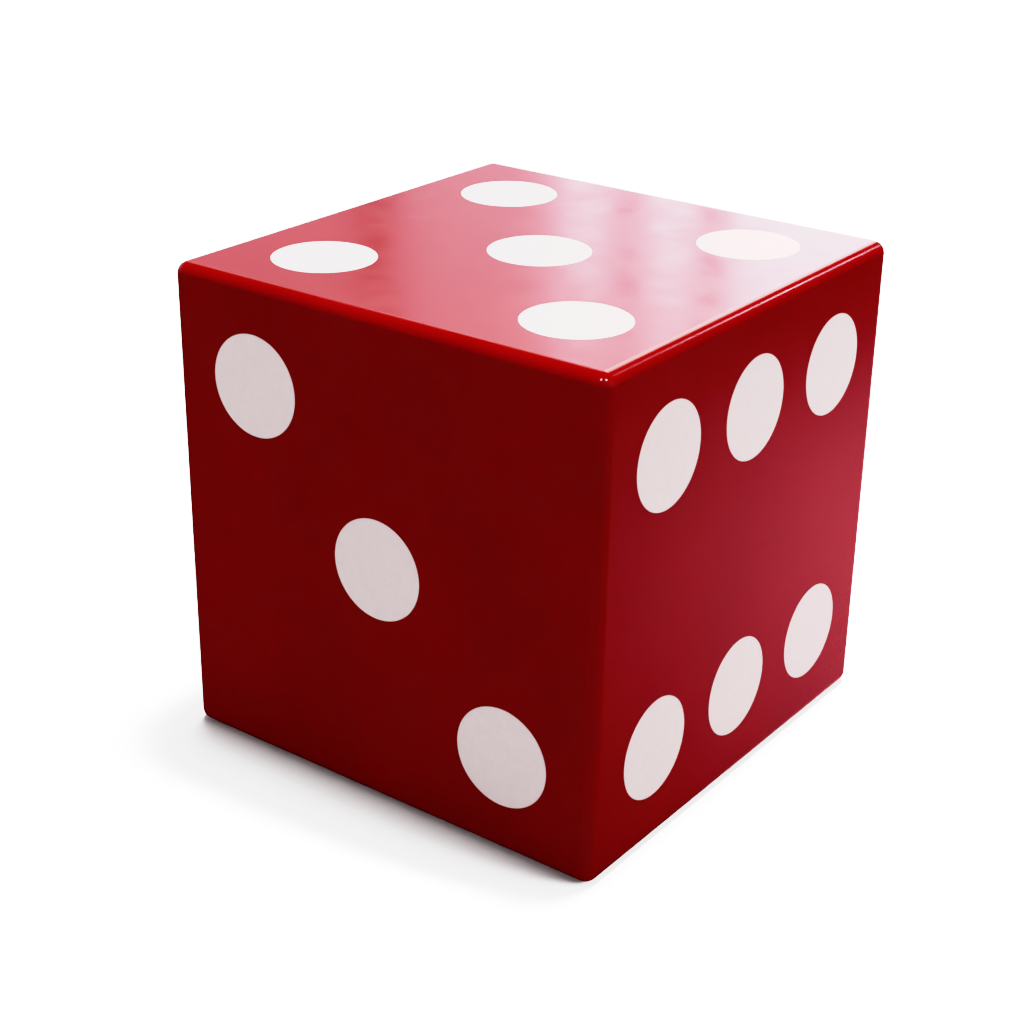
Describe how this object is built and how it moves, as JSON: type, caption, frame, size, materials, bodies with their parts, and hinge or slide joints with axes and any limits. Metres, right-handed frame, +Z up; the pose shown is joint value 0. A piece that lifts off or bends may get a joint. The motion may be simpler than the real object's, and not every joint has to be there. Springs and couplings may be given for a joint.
{
  "type": "giant display die",
  "caption": "Hollow cube-shaped display die with rounded edges, gloss lacquered boards, flush round pips and a screwed base.",
  "frame": {"origin": "middle of the underside, on the surface that the die stands on", "axes": "+Z up through the face with five pips, -Y out of the face with three pips, +X out of the face with six pips"},
  "size_m": [0.4, 0.4, 0.4],
  "materials": {
    "red_lacquer": "gloss",
    "white_pip": "gloss",
    "pine": "matte",
    "zinc_steel": "satin"
  },
  "bodies": {
    "root": {"wall_front": "red_lacquer", "wall_right": "red_lacquer", "wall_back": "red_lacquer", "wall_left": "red_lacquer", "top_panel": "red_lacquer", "base_panel": "red_lacquer", "post_front_left": "pine", "post_front_right": "pine", "post_back_right": "pine", "post_back_left": "pine", "top_rail_front": "pine", "top_rail_right": "pine", "top_rail_back": "pine", "top_rail_left": "pine", "base_rail_front": "pine", "base_rail_right": "pine", "base_rail_back": "pine", "base_rail_left": "pine", "pip_front_1": "white_pip", "pip_front_2": "white_pip", "pip_front_3": "white_pip", "pip_right_1": "white_pip", "pip_right_2": "white_pip", "pip_right_3": "white_pip", "pip_right_4": "white_pip", "pip_right_5": "white_pip", "pip_right_6": "white_pip", "pip_back_1": "white_pip", "pip_back_2": "white_pip", "pip_back_3": "white_pip", "pip_back_4": "white_pip", "pip_left_1": "white_pip", "pip_top_1": "white_pip", "pip_top_2": "white_pip", "pip_top_3": "white_pip", "pip_top_4": "white_pip", "pip_top_5": "white_pip", "pip_bottom_1": "white_pip", "pip_bottom_2": "white_pip", "base_screw_front_1": "zinc_steel", "base_screw_front_2": "zinc_steel", "base_screw_right_1": "zinc_steel", "base_screw_right_2": "zinc_steel", "base_screw_back_1": "zinc_steel", "base_screw_back_2": "zinc_steel", "base_screw_left_1": "zinc_steel", "base_screw_left_2": "zinc_steel"}
  },
  "joints": []
}
